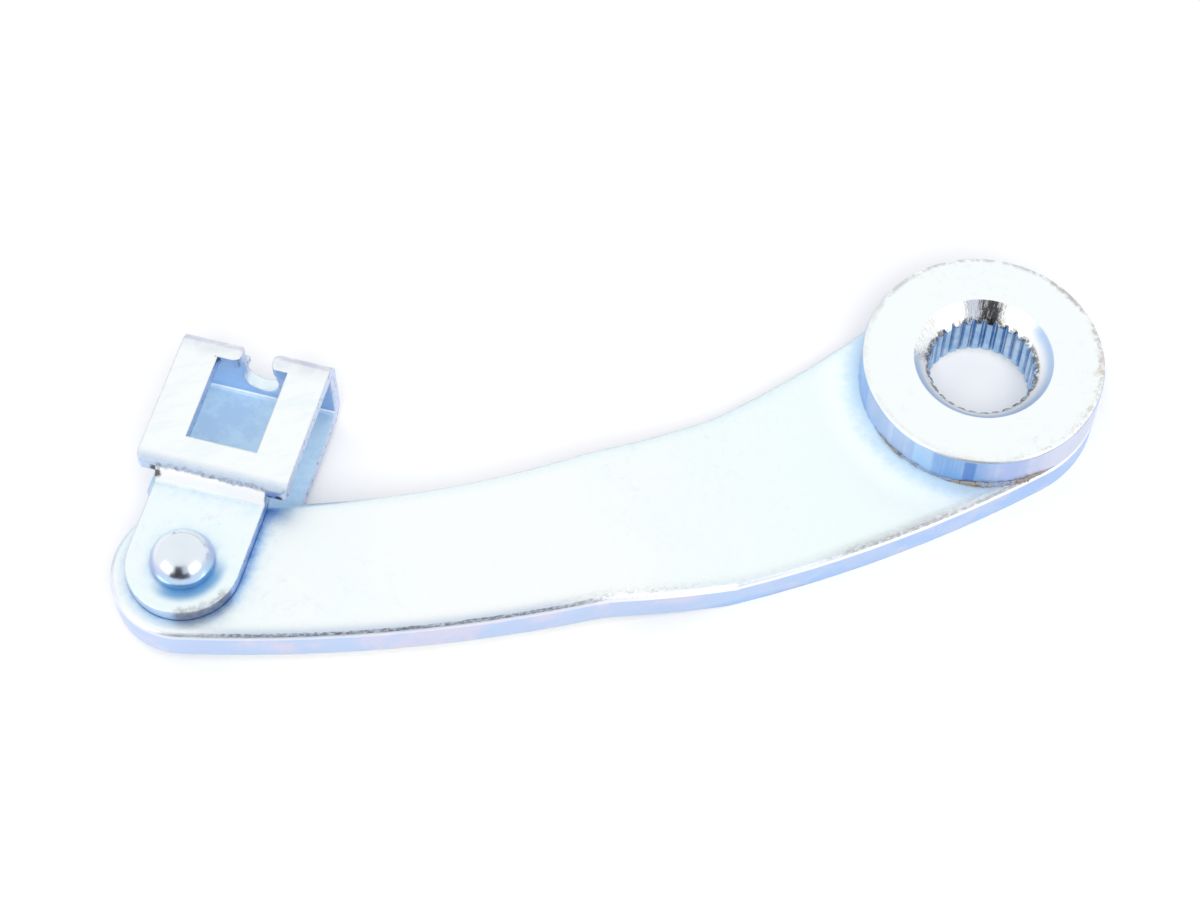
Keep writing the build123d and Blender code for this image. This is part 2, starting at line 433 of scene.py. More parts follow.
        brown = group.times(
            soft, group.ramp(streaks, 0.46, 0.66), group.ramp(ended, -12.0 * MM, 4.0 * MM),
            group.ramp(ended, 4.0 * MM, 20.0 * MM, 1.0, 0.3),
        )
        tanned = group.times(soft, marred, group.ramp(streaks, 0.36, 0.60, 0.35, 1.0))
        rust_line = group.times(
            group.fade(tilt, 0.72, 0.97), hollow_side, group.ramp(streaks, 0.36, 0.62, 0.25, 1.0),
        )
        stain = group.math("MAXIMUM", group.math("MAXIMUM", brown, tanned), rust_line)
        # A painted highlight where the rounding meets the wall.
        glint = group.times(
            group.ramp(tilt, 0.06, 0.14), group.fade(tilt, 0.48, 0.62), full_side,
            group.ramp(ended, -2.0 * MM, 10.0 * MM, 0.4, 1.0),
        )
        # A cool painted shade on the hollow edge.
        cool_shade = group.times(
            group.ramp(leaning, 0.03, 0.45), group.ramp(streaks, 0.30, 0.62, 0.3, 1.0),
            group.ramp(tilt, 0.2, 0.6),
        )
        masks = {"Cool Shade": cool_shade, "Torn Dark Sheen": torn_dark_sheen, "Haze Shade": haze_shade, "Stain": stain, "Glint": glint}
        for name, mask in masks.items():
            group.gives(name, Kind.NUMBER, mask)
        return group.tree

    @staticmethod
    def build_grain() -> bpy.types.NodeTree:
        """Builds the fine relief of plated steel: a soft orange peel, pits and hair scratches.

        Returns:
            The group's node tree.
        """
        group = Effect("plated_grain")
        size = group.takes("Grain Scale", Kind.NUMBER, 2600.0)
        scratch = group.takes("Scratch Amount", Kind.NUMBER, 0.4)
        peel = group.grain(size, 3.0, 0.6)
        pits = group.add("ShaderNodeTexVoronoi", {
            "Vector": group.place, "Scale": group.times(size, 0.45),
        }, feature="DISTANCE_TO_EDGE")
        pitted = group.ramp(pits.outputs["Distance"], 0.0, 0.12)
        hair_angle, hair_squeeze = math.radians(38.0), 0.05
        turned = group.brushed(hair_angle, hair_squeeze)
        hairs = group.ramp(group.grain(4200.0, 2.0, 0.5, turned), 0.60, 0.72)
        relief = group.math("ADD", peel, group.times(pitted, 0.3))
        relief = group.math("SUBTRACT", relief, group.times(hairs, scratch))
        group.gives("Height", Kind.NUMBER, relief)
        return group.tree

    @staticmethod
    def build_corner_shade() -> bpy.types.NodeTree:
        """Builds blue painted shade in corners: pale and speckled wide, deep close in.

        Returns:
            The group's node tree.
        """
        group = Effect("painted_corner_shade")
        tone = group.takes("Colour", Kind.COLOUR)
        pale = group.takes("Pale Colour", Kind.COLOUR)
        deep = group.takes("Deep Colour", Kind.COLOUR)
        reach = group.takes("Reach", Kind.NUMBER, 3.0 * MM)
        amount = group.takes("Amount", Kind.NUMBER, 0.8)
        openness = group.add("ShaderNodeAmbientOcclusion", {"Distance": reach}, samples=8).outputs["AO"]
        shade = group.roughen(openness, 0.35, 1000.0, 4.0, 0.7)
        tone = group.blend(group.times(group.fade(shade, 0.62, 0.95), amount), tone, pale)
        tone = group.blend(group.times(group.fade(shade, 0.42, 0.74), amount), tone, deep)
        group.gives("Colour", Kind.COLOUR, tone)
        return group.tree

    @staticmethod
    def build_spot() -> bpy.types.NodeTree:
        """Builds a mask of one ragged spot round a place.

        Returns:
            The group's node tree.
        """
        group = Effect("ragged_spot")
        centre = group.takes("Centre", Kind.VECTOR)
        radius = group.takes("Radius", Kind.NUMBER, 1.0 * MM)
        ragged = group.takes("Raggedness", Kind.NUMBER, 1.6)
        away = group.measure("DISTANCE", group.place, centre)
        share = group.roughen(group.math("DIVIDE", away, radius), ragged, 1400.0, 4.0, 0.7)
        group.gives("Mask", Kind.NUMBER, group.fade(share, 0.35, 1.0))
        return group.tree


class Coat(Wiring):
    """A material while its marks are laid on one after another."""

    def __init__(self, name: str, effects: EffectSet | None = None, rough: float = 0.5) -> None:
        """Starts a material of bare metal.

        Args:
            name: The material's name.
            effects: The shared effects, where the material uses them.
            rough: The roughness that the marks change.
        """
        self.material = bpy.data.materials.new(name)
        self.material.use_nodes = True
        super().__init__(self.material.node_tree)
        where = self.add("ShaderNodeTexCoord").outputs
        self.place, self.normal = where["Object"], where["Normal"]
        self.effects = effects
        self.tone: Feed = (1.0, 1.0, 1.0)
        self.rough: Feed = rough
        self.metal: Feed = 1.0
        self.scar: Feed = 0.0

    def effect(self, tree: bpy.types.NodeTree, feeds: Feeds | None = None) -> bpy.types.Node:
        """Places a shared effect, read at the coat's own place.

        Args:
            tree: The effect's node tree.
            feeds: What its other inputs get.

        Returns:
            The group node.
        """
        return self.add("ShaderNodeGroup", {"Position": self.place, **(feeds or {})}, node_tree=tree)

    def paint(self, colour: Feed, *shares: Feed) -> None:
        """Lays a colour over the tone.

        Args:
            colour: The colour.
            shares: Masks and amounts, whose product is how much of it shows.
        """
        self.tone = self.blend(self.times(*shares), self.tone, colour)

    def spot(self, centre: Vector, radius: float, ragged: float) -> Socket:
        """Masks a ragged spot round a place.

        Args:
            centre: The place.
            radius: The spot's radius.
            ragged: How ragged it is.

        Returns:
            The mask's socket.
        """
        feeds = {"Centre": centre, "Radius": radius, "Raggedness": ragged}
        return self.effect(self.effects.spot, feeds).outputs["Mask"]

    def finish(self, feeds: Feeds) -> bpy.types.Material:
        """Feeds the material's shader.

        Args:
            feeds: What the shader's named inputs get.

        Returns:
            The finished material.
        """
        shader = self.tree.nodes["Principled BSDF"]
        for name, source in feeds.items():
            self.feed(shader.inputs[name], source)
        return self.material


@dataclass(frozen=True)
class ZincFinish:
    """Bright blue zinc plating over steel, with the marks of how the piece was made, and painted shade on
    its walls and in its corners.
    """

    name: str
    face: Colour
    # Painted shade for walls, darker and bluer than the face, in place of what they would reflect.
    wall: Colour = (0.590, 0.710, 0.930)
    warm_wall: Colour = (0.740, 0.730, 0.890)
    cloud: Colour = (0.965, 0.985, 0.990)
    fleck: Colour = (0.560, 0.640, 0.780)
    # Colours of the painted shade in corners: pale where it spreads wide, deep close in.
    pale: Colour = (0.560, 0.770, 0.960)
    deep: Colour = (0.080, 0.260, 0.700)
    dirt: Colour = (0.190, 0.135, 0.085)
    worn: Colour = (0.940, 0.950, 0.965)
    roughness: float = 0.36
    cloud_scale: float = 150.0
    cloud_amount: float = 0.8
    fleck_amount: float = 0.35
    # How far the painted shade reaches from corners and how strong it is.
    corner_shade_reach: float = 3.0 * MM
    corner_shade_amount: float = 0.4
    grime_amount: float = 0.5
    wear_amount: float = 0.35
    relief: float = 0.012 * MM
    rounding: float = 0.12 * MM
    cloud_dulling: float = 0.06
    dirt_dulling: float = 0.35
    scar_dulling: float = 0.25
    scar_depth: float = 2.0

    def build(self, effects: EffectSet) -> bpy.types.Material:
        """Builds the material.

        Args:
            effects: The shared effects.

        Returns:
            The finished material.
        """
        coat = Coat(self.name, effects, self.roughness)
        mottle = coat.effect(effects.mottle, {
            "Normal": coat.normal, "Face Colour": self.face, "Wall Colour": self.wall,
            "Warm Wall Colour": self.warm_wall, "Cloud Colour": self.cloud,
            "Fleck Colour": self.fleck, "Cloud Amount": self.cloud_amount,
            "Fleck Amount": self.fleck_amount, "Cloud Scale": self.cloud_scale,
        })
        # Painted shade in corners, found by ambient occlusion, laid over the mottle.
        coat.tone = coat.effect(effects.corner_shade, {
            "Colour": mottle.outputs["Colour"], "Pale Colour": self.pale, "Deep Colour": self.deep,
            "Reach": self.corner_shade_reach, "Amount": self.corner_shade_share(coat),
        }).outputs["Colour"]
        self.mark(coat)
        dirt = coat.times(coat.effect(effects.grime).outputs["Mask"], self.grime_amount)
        coat.paint(self.dirt, dirt)
        coat.paint(self.worn, coat.effect(effects.wear).outputs["Mask"], self.wear_amount)

        rough = coat.math("ADD", coat.rough, coat.times(mottle.outputs["Clouds"], self.cloud_dulling))
        rough = coat.math("ADD", rough, coat.times(dirt, self.dirt_dulling))
        rough = coat.math("ADD", rough, coat.times(coat.scar, self.scar_dulling), clamp=True)
        grain = coat.effect(effects.grain).outputs["Height"]
        edges = coat.add("ShaderNodeBevel", {"Radius": self.rounding}, samples=6)
        bump = coat.add("ShaderNodeBump", {
            "Height": coat.math("SUBTRACT", grain, coat.times(coat.scar, self.scar_depth)),
            "Distance": self.relief, "Normal": edges.outputs["Normal"],
        })
        return coat.finish({
            "Base Color": coat.tone, "Metallic": coat.metal, "Roughness": rough,
            "Normal": bump.outputs["Normal"],
        })

    def corner_shade_share(self, coat: Coat) -> Feed:
        """Returns how strong the painted shade in corners is, the same all over unless a piece differs."""
        return self.corner_shade_amount

    def mark(self, coat: Coat) -> None:
        """Leaves the coat as it is; a piece with marks of its own changes it."""


@dataclass(frozen=True)
class PlateFinish(ZincFinish):
    """Plating on the lever's plate, whose rolled edge is torn, stained and bright with a painted highlight
    in turn.
    """

    name: str = "zinc_plate"
    face: Colour = (0.945, 0.995, 1.000)
    # The plate's walls get their own painted shade.
    wall: Colour = (0.550, 0.670, 0.895)
    warm_wall: Colour = (0.690, 0.695, 0.860)
    cloud: Colour = (0.980, 0.995, 1.000)
    roughness: float = 0.38
    # Along the rolled edge: a dark torn streak, partly shear marks and partly a painted reflection, a grey
    # painted shade, brown stains and a painted white highlight.
    torn_dark_sheen: Colour = (0.140, 0.140, 0.175)
    haze_shade: Colour = (0.320, 0.450, 0.660)
    stain: Colour = (0.420, 0.370, 0.340)
    glint: Colour = (0.990, 0.990, 0.990)
    near_hub: Colour = (0.905, 1.000, 1.000)
    # Painted shade on the wall near the hub and on the rounding at the clip's end.
    far_wall_shade: Colour = (0.440, 0.630, 0.930)
    end_shade: Colour = (0.800, 0.790, 0.930)
    # Painted blue shade round the boss's foot.
    foot_shade: Colour = (0.520, 0.760, 0.960)
    white_middle: Colour = (0.995, 1.000, 1.000)
    # A cool painted shade for the hollow edge.
    cool_shade: Colour = (0.600, 0.830, 0.930)
    # A painted shadow on the plate beside the clip's corner.
    clip_shadow: Colour = (0.130, 0.360, 0.790)
    haze_shade_share: float = 0.62
    stain_share: float = 0.62
    cool_shade_share: float = 0.45
    torn_dark_sheen_share: float = 0.85
    # Where the painted shade in corners is strongest along the plate.
    ear_corner_shade: Span = (-91.0 * MM, -83.0 * MM)
    middle_corner_shade: Span = (-72.0 * MM, -50.0 * MM)
    hub_corner_shade: Span = (-30.0 * MM, -14.0 * MM)
    far_wall_span: Span = (-44.0 * MM, -18.0 * MM)
    end_span: Span = (-93.0 * MM, -88.0 * MM)
    near_hub_span: Span = (-44.0 * MM, -20.0 * MM)
    middle_begins: Span = (-74.0 * MM, -62.0 * MM)
    middle_ends: Span = (-46.0 * MM, -36.0 * MM)
    middle_drift: float = 24.0 * MM
    boss_radius: float = 13.0 * MM
    foot_gap: float = 0.2 * MM
    foot_reach: float = 6.0 * MM
    foot_drift: float = 4.0 * MM
    foot_metal: float = 0.35
    # The centre and radius of the painted shadow beside the clip.
    clip_corner: Point = (-78.4 * MM, 7.3 * MM, 7.2 * MM)
    corner_radius: float = 2.6 * MM

    def corner_shade_share(self, coat: Coat) -> Feed:
        """Paints the most shade in corners beside the clip's ear and less towards both ends.

        Args:
            coat: The plate's coat.

        Returns:
            The share of painted shade in corners.
        """
        along = coat.parts(coat.place)[0]
        return coat.times(
            coat.ramp(along, *self.ear_corner_shade, 0.40, 0.95),
            coat.ramp(along, *self.middle_corner_shade, 1.0, 0.50),
            coat.ramp(along, *self.hub_corner_shade, 1.0, 0.40),
        )

    def mark(self, coat: Coat) -> None:
        """Paints shade on the walls, tints the top, and draws the painted shade at the boss's foot, the
        painted shadow beside the clip and the rolled edge's marks.

        Args:
            coat: The plate's coat.
        """
        along, outward, _ = coat.parts(coat.place)
        upward = coat.parts(coat.normal)[2]
        top = coat.ramp(upward, 0.6, 0.9)
        self.tint_walls(coat, along, upward)
        self.whiten_top(coat, along, top)
        self.blue_foot(coat, coat.flat_length(along, outward), top)
        # A painted shadow beside the clip's corner.
        coat.paint(self.clip_shadow, coat.spot(Vector(self.clip_corner), self.corner_radius, 0.9), 0.75)
        self.mar_edge(coat)

    def tint_walls(self, coat: Coat, along: Socket, upward: Socket) -> None:
        """Lays painted shade: blue patches on the wall near the hub and lilac on the rounding of the clip's
        end.

        Args:
            coat: The plate's coat.
            along: The distance from the bore, towards +X.
            upward: The normal's height.
        """
        upright = coat.fade(coat.math("ABSOLUTE", upward), 0.2, 0.5)
        patches = coat.ramp(coat.grain(230.0, 5.0, 0.7), 0.44, 0.56, 0.10, 0.85)
        # Painted shade in blue patches on the wall near the hub.
        coat.paint(self.far_wall_shade, upright, coat.ramp(along, *self.far_wall_span), patches)
        curved = coat.times(coat.ramp(upward, 0.10, 0.40), coat.fade(upward, 0.80, 0.99))
        # Painted lilac shade on the rounding at the clip's end.
        coat.paint(self.end_shade, curved, coat.ramp(along, *self.end_span, 0.7, 0.0))

    def whiten_top(self, coat: Coat, along: Socket, top: Socket) -> None:
        """Tints the top near the hub and whitens its middle.

        Args:
            coat: The plate's coat.
            along: The distance from the bore, towards +X.
            top: The mask of faces that look up.
        """
        coat.paint(self.near_hub, top, coat.ramp(along, *self.near_hub_span, 0.0, 0.6))
        drifting = coat.roughen(along, self.middle_drift, 60.0, 3.0, 0.5)
        begun = coat.ramp(drifting, *self.middle_begins)
        coat.paint(self.white_middle, top, begun, coat.ramp(drifting, *self.middle_ends, 0.85, 0.0))

    def blue_foot(self, coat: Coat, radius: Socket, top: Socket) -> None:
        """Dulls the metal round the boss's foot and speckles it with blue painted shade.

        Args:
            coat: The plate's coat.
            radius: The distance from the bore's axis.
            top: The mask of faces that look up.
        """
        away = coat.math("SUBTRACT", radius, self.boss_radius)
        foot = coat.times(top, coat.fade(away, self.foot_gap, self.foot_reach))
        coat.metal = coat.ramp(foot, 0.0, 0.7, 1.0, self.foot_metal)
        ragged = coat.roughen(away, self.foot_drift, 900.0, 5.0, 0.75)
        # Painted shade, speckled, round the boss's foot.
        coat.paint(self.foot_shade, foot, coat.ramp(ragged, self.foot_gap, self.foot_reach / 2, 0.62, 0.0))

    def mar_edge(self, coat: Coat) -> None:
        """Lays the rolled edge's marks, each over the one before: painted shade, stains, a cool painted
        shade, a painted highlight and a torn streak that is partly a painted reflection.

        Args:
            coat: The plate's coat.
        """
        band = coat.effect(coat.effects.band, {"Normal": coat.normal}).outputs
        # Painted shade, stains, a cool painted shade, a painted highlight, then the partly painted torn
        # streak.
        coat.paint(self.haze_shade, band["Haze Shade"], self.haze_shade_share)
        coat.paint(self.stain, band["Stain"], self.stain_share)
        coat.paint(self.cool_shade, band["Cool Shade"], self.cool_shade_share)
        coat.paint(self.glint, band["Glint"])
        coat.scar = coat.times(band["Torn Dark Sheen"], self.torn_dark_sheen_share)
        coat.paint(self.torn_dark_sheen, coat.scar)


@dataclass(frozen=True)
class ReflectionSector:
    """A patch of painted reflection on the boss's wall, with its angles in degrees."""

    colour: Colour
    middle: float
    half_width: float
    softness: float
    share: float


@dataclass(frozen=True)
class HubPlace:
    """Where a point of the hub lies, and how far up it looks."""

    radius: Socket
    turn: Socket
    height: Socket
    along: Socket
    upward: Socket


@dataclass(frozen=True)
class HubFinish(ZincFinish):
    """Plating on the turned hub: a polished countersink, serrations in blue painted shade, a tarnished rim
    and painted reflections on the boss's wall.
    """

    name: str = "zinc_hub"
    face: Colour = (0.960, 0.995, 1.000)
    # The boss's wall gets a painted reflection, bluer than the face.
    wall: Colour = (0.300, 0.495, 0.815)
    warm_wall: Colour = (0.370, 0.505, 0.785)
    corner_shade_amount: float = 0.15
    # Painted shade inside the bore, darkest at the groove roots.
    bore_shade: Colour = (0.320, 0.540, 0.800)
    groove_shade: Colour = (0.150, 0.330, 0.640)
    tip_dirt: Colour = (0.150, 0.120, 0.095)
    tarnish: Colour = (0.560, 0.440, 0.330)
    grey_line: Colour = (0.420, 0.420, 0.440)
    cone: Colour = (0.970, 0.985, 0.990)
    # The lilac, mauve and blush are painted reflections on the boss's wall.
    lilac_reflection: Colour = (0.520, 0.600, 0.800)
    blued: Colour = (0.320, 0.520, 0.830)
    mauve_reflection: Colour = (0.560, 0.580, 0.840)
    blush_reflection: Colour = (0.740, 0.760, 0.880)
    # Painted reflections of the room on the boss's wall.
    reflected_sectors: tuple[ReflectionSector, ...] = (
        ReflectionSector((0.600, 0.800, 0.960), middle=-139.0, half_width=4.0, softness=2.0, share=0.55),
        ReflectionSector((0.200, 0.450, 0.800), middle=-126.5, half_width=6.5, softness=1.2, share=0.50),
        ReflectionSector((0.130, 0.270, 0.640), middle=-116.0, half_width=2.2, softness=1.2, share=0.80),
    )
    cone_radius: float = 7.5 * MM
    cone_floor: float = 6.8 * MM
    tip_radius: float = 5.6 * MM
    root_radius: float = 6.0 * MM
    rim_radius: float = 12.5 * MM
    polish: float = 0.10
    satin_metal: float = 0.25
    polished_from: Span = (1.0 * MM, 4.0 * MM)
    # Angles round the bore's axis, in degrees from +X.
    # Where the painted reflections on the boss's wall end and begin.
    lilac_ends: Span = (-148.0, -138.0)
    mauve_begins: Span = (-113.0, -98.0)
    blush_begins: Span = (-96.0, -72.0)
    tan_middle: float = -25.0
    grey_middle: float = 62.0

    def mark(self, coat: Coat) -> None:
        """Colours the boss's wall, the cone, the serrations with their dirty mouths, and the rim.

        Args:
            coat: The hub's coat.
        """
        across, along, height = coat.parts(coat.place)
        turn = coat.times(coat.math("ARCTAN2", along, across), DEGREES)
        upward = coat.parts(coat.normal)[2]
        at = HubPlace(coat.flat_length(across, along), turn, height, along, upward)
        self.colour_wall(coat, at)
        self.colour_cone(coat, at)
        self.colour_bore(coat, at)
        self.colour_rim(coat, at)

    def colour_wall(self, coat: Coat, at: HubPlace) -> None:
        """Paints reflections on the boss's wall sector by sector, with soft streaks from the turning tool.

        Args:
            coat: The hub's coat.
            at: Where the surface lies.
        """
        upright = coat.fade(coat.math("ABSOLUTE", at.upward), 0.1, 0.4)
        wall = coat.times(upright, coat.ramp(at.radius, self.rim_radius, self.rim_radius + 0.3 * MM))
        near_side = coat.times(wall, coat.fade(at.turn, 0.0, 20.0))
        # Painted reflections on the near side of the boss's wall.
        coat.paint(self.lilac_reflection, near_side, coat.ramp(at.turn, *self.lilac_ends, 0.85, 0.0))
        coat.paint(self.mauve_reflection, near_side, coat.ramp(at.turn, *self.mauve_begins, 0.0, 0.55))
        coat.paint(self.blush_reflection, near_side, coat.ramp(at.turn, *self.blush_begins, 0.0, 0.85))
        # Painted reflections, one sector at a time.
        for sector in self.reflected_sectors:
            end = sector.half_width + sector.softness
            within = coat.ramp(coat.apart(at.turn, sector.middle), sector.half_width, end, sector.share, 0.0)
            coat.paint(sector.colour, wall, within)
        streaks = coat.ramp(coat.grain(0.11, 4.0, 0.7, coat.joined(at.turn)), 0.45, 0.65)
        mist = coat.ramp(coat.grain(380.0, 3.0, 0.6), 0.35, 0.65, 0.3, 1.0)
        coat.paint(self.face, wall, streaks, mist, 0.22)

    def colour_cone(self, coat: Coat, at: HubPlace) -> None:
        """Polishes the countersink on its far side and leaves it satin nearer by.

        Args:
            coat: The hub's coat.
            at: Where the surface lies.
        """
        cone = coat.times(
            coat.fade(at.radius, self.cone_radius - 0.02 * MM, self.cone_radius + 0.04 * MM),
            coat.ramp(at.height, self.cone_floor - 0.05 * MM, self.cone_floor + 0.05 * MM),
        )
        coat.paint(self.cone, cone)
        far_side = coat.ramp(at.along, *self.polished_from)
        polished = coat.times(cone, far_side)
        satin = coat.times(cone, coat.math("SUBTRACT", 1.0, far_side))
        coat.rough = coat.ramp(polished, 0.0, 1.0, self.roughness, self.polish)
        round_bore = coat.joined(coat.times(at.turn, 0.30), coat.times(at.height, 500.0))
        coat.paint(self.tarnish, polished, coat.ramp(coat.grain(2.3, 3.0, 0.6, round_bore), 0.5, 0.6), 0.30)
        scratches = coat.ramp(coat.grain(1.0, 5.0, 0.75, round_bore), 0.50, 0.66)
        dulled = coat.math("MAXIMUM", satin, coat.times(polished, scratches, 0.65))
        coat.metal = coat.ramp(dulled, 0.0, 1.0, 1.0, self.satin_metal)
        near_edge = coat.ramp(at.radius, self.cone_radius - 1.2 * MM, self.cone_radius - 0.2 * MM)
        coat.paint(self.blued, satin, near_edge, 0.75)

    def colour_bore(self, coat: Coat, at: HubPlace) -> None:
        """Paints shade on the serrations, darkest at the groove roots, and colours the gritty outline of
        their mouths.

        Args:
            coat: The hub's coat.
            at: Where the surface lies.
        """
        lower = coat.fade(at.height, self.cone_floor + 0.1 * MM, self.cone_floor + 0.4 * MM)
        within = coat.fade(at.radius, self.root_radius, self.root_radius + 0.1 * MM)
        # Painted shade on the serrations, darker towards the groove roots.
        depth = coat.ramp(at.radius, self.tip_radius + 0.05 * MM, self.root_radius)
        mist = coat.ramp(coat.grain(700.0, 4.0, 0.65), 0.35, 0.65, 0.0, 0.35)
        shaded_steel = coat.blend(mist, coat.blend(depth, self.bore_shade, self.groove_shade), self.face)
        coat.paint(shaded_steel, within, lower)
        mouth = coat.ramp(at.height, self.cone_floor - 0.35 * MM, self.cone_floor + 0.05 * MM)
        lip = coat.fade(at.radius, self.root_radius + 0.02 * MM, self.root_radius + 0.30 * MM)
        grit = coat.math("ADD", coat.grain(1700.0, 5.0, 0.75), coat.times(mouth, 0.10))
        coat.paint(self.tip_dirt, coat.ramp(grit, 0.54, 0.64), lip, mouth, 0.85)

    def colour_rim(self, coat: Coat, at: HubPlace) -> None:
        """Tarnishes the boss's rim: tan specks on its right and thin grey lines round its top.

        Args:
            coat: The hub's coat.
            at: Where the surface lies.
        """
        top = coat.ramp(at.upward, 0.02, 0.35)
        blotches = coat.grain(460.0, 6.0, 0.8)
        tan_side = coat.ramp(coat.apart(at.turn, self.tan_middle), 50.0, 78.0, 1.0, 0.12)
        broad_rim = coat.ramp(at.radius, self.rim_radius - 1.2 * MM, self.rim_radius + 0.1 * MM)
        specks = coat.ramp(coat.math("ADD", blotches, coat.times(broad_rim, 0.12)), 0.58, 0.72)
        coat.paint(self.tarnish, specks, broad_rim, top, tan_side, 0.62)
        grey_side = coat.ramp(coat.apart(at.turn, self.grey_middle), 50.0, 90.0, 0.55, 0.10)
        thin_rim = coat.ramp(at.radius, self.rim_radius - 0.30 * MM, self.rim_radius + 0.10 * MM)
        lines = coat.times(coat.ramp(blotches, 0.40, 0.54), thin_rim, top, grey_side)
        coat.paint(self.grey_line, lines)
        coat.scar = coat.times(lines, 0.2)


@dataclass(frozen=True)
class SheetPlace:
    """Where a point of the clip lies, how far it looks up and towards the fold, and its grit."""

    offset: Socket
    height: Socket
    upward: Socket
    ahead: Socket
    grit: Socket


@dataclass(frozen=True)
class ClipFinish(ZincFinish):
    """Plating on the folded sheet: worn white in front, with painted shade between its plates, on its fold,
    nose and side edges and beside the rivet, and a painted highlight on its web.
    """

    name: str = "zinc_sheet"
    face: Colour = (0.900, 0.985, 1.000)
    cloud: Colour = (0.950, 0.990, 1.000)
    worn: Colour = (0.640, 0.630, 0.720)
    roughness: float = 0.34
    corner_shade_amount: float = 0.6
    wear_amount: float = 0.55
    rounding: float = 0.30 * MM
    bright: Colour = (0.970, 0.990, 0.995)
    brushed: Colour = (0.840, 0.930, 0.975)
    # Painted shade on the fold.
    fold_shade: Colour = (0.600, 0.620, 0.740)
    # Painted shade on the nose, a dashed line of specks and painted shade, and a painted highlight on the
    # web.
    nose_shade: Colour = (0.500, 0.620, 0.800)
    nose_line_specks_and_shade: Colour = (0.160, 0.170, 0.220)
    web_highlight: Colour = (0.990, 0.990, 1.000)
    speck: Colour = (0.110, 0.170, 0.300)
    # Painted shade on the back plate's inner face, between the plates, in cloudy patches.
    inner_shade: Colour = (0.600, 0.815, 1.000)
    inner_cloud: Colour = (0.400, 0.600, 0.880)
    # Painted shade on the side edges.
    edge_shade: Colour = (0.560, 0.660, 0.860)
    soil: Colour = (0.030, 0.028, 0.040)
    smear: Colour = (0.170, 0.140, 0.160)
    # A painted shadow on the ear beside the rivet's head.
    rivet_shadow: Colour = (0.110, 0.350, 0.680)
    pivot: Point = (-87.5 * MM, 0.0, 0.0)
    rest_angle: float = math.radians(58.5)
    front_height: float = 9.0 * MM
    back_height: float = 3.3 * MM
    ear_top: float = 8.8 * MM
    ear_edge: float = 6.15 * MM
    head_radius: float = 3.3 * MM
    fold_start: float = 22.2 * MM
    inner_metal: float = 0.40
    inner_roughness: float = 0.5
    web_metal: float = 0.2
    soil_share: float = 0.92
    smear_radius: float = 1.3 * MM
    smear_share: float = 0.70
    # Soiled places: to the clip's right, ahead of its pivot and above the hub's back face.
    left_nick: Point = (-6.1 * MM, 8.9 * MM, 9.7 * MM)
    right_nick: Point = (6.4 * MM, 8.8 * MM, 9.4 * MM)
    right_end: Point = (7.3 * MM, 9.3 * MM, 9.5 * MM)
    window_corner: Point = (-3.9 * MM, 22.9 * MM, 10.9 * MM)

    @property
    def forward(self) -> Vector:
        """The direction from the pivot towards the fold."""
        return Vector((math.cos(self.rest_angle), math.sin(self.rest_angle), 0.0))

    @property
    def rightward(self) -> Vector:
        """The direction to the clip's right."""
        return Vector((math.sin(self.rest_angle), -math.cos(self.rest_angle), 0.0))

    def mark(self, coat: Coat) -> None:
        """Colours the clip from its inside to its front, then its edges, corners and ear.

        Args:
            coat: The clip's coat.
        """
        offset = coat.add("ShaderNodeVectorMath", {0: coat.place, 1: self.pivot}, operation="SUBTRACT")
        height = coat.parts(coat.place)[2]
        upward = coat.parts(coat.normal)[2]
        ahead = coat.measure("DOT_PRODUCT", coat.normal, self.forward)
        at = SheetPlace(offset.outputs[0], height, upward, ahead, coat.grain(1500.0, 5.0, 0.75))
        front = coat.ramp(height, self.front_height - 0.1 * MM, self.front_height + 0.2 * MM)
        self.colour_inside(coat, at)
        self.whiten_front(coat, at, front)
        self.grey_nose(coat, at, front)
        self.colour_edges(coat, at)
        self.soil_corners(coat)
        self.ring_rivet(coat, at)

    def colour_inside(self, coat: Coat, at: SheetPlace) -> None:
        """Gives the back plate's inner face, between the plates, a light blue painted shade and makes it
        satin.

        Args:
            coat: The clip's coat.
            at: Where the surface lies.
        """
        low = coat.fade(at.height, self.back_height, self.back_height + 1.2 * MM)
        floor = coat.times(low, coat.ramp(at.upward, 0.2, 0.6))
        # Painted shade between the plates, in cloudy patches.
        coat.paint(self.inner_shade, floor)
        coat.paint(self.inner_cloud, floor, coat.ramp(coat.grain(240.0, 5.0, 0.7), 0.44, 0.64), 0.5)
        coat.metal = coat.ramp(floor, 0.0, 1.0, 1.0, self.inner_metal)
        coat.rough = coat.ramp(floor, 0.0, 1.0, self.roughness, self.inner_roughness)

    def whiten_front(self, coat: Coat, at: SheetPlace, front: Socket) -> None:
        """Whitens the front plate, with brushed streaks, and paints shade on its fold.

        Args:
            coat: The clip's coat.
            at: Where the surface lies.
            front: The mask of what stands as high as the front plate.
        """
        coat.paint(self.bright, front, coat.ramp(at.upward, 0.05, 0.25))
        streaks = coat.grain(620.0, 5.0, 0.7, coat.brushed(-self.rest_angle, 0.25))
        level = coat.ramp(at.upward, 0.90, 0.99)
        coat.paint(self.brushed, front, level, coat.ramp(streaks, 0.46, 0.66), 0.55)
        reach = coat.measure("DOT_PRODUCT", at.offset, self.forward)
        before = coat.ramp(reach, self.fold_start, self.fold_start + 2.2 * MM, 0.0, 0.45)
        folded = coat.math("MAXIMUM", before, coat.ramp(at.ahead, 0.04, 0.40))
        hazy = coat.ramp(coat.grain(260.0, 4.0, 0.6), 0.36, 0.58, 0.35, 1.0)
        # Painted shade on the fold, where it turns away.
        coat.paint(self.fold_shade, front, folded, coat.ramp(at.upward, 0.05, 0.3), hazy)

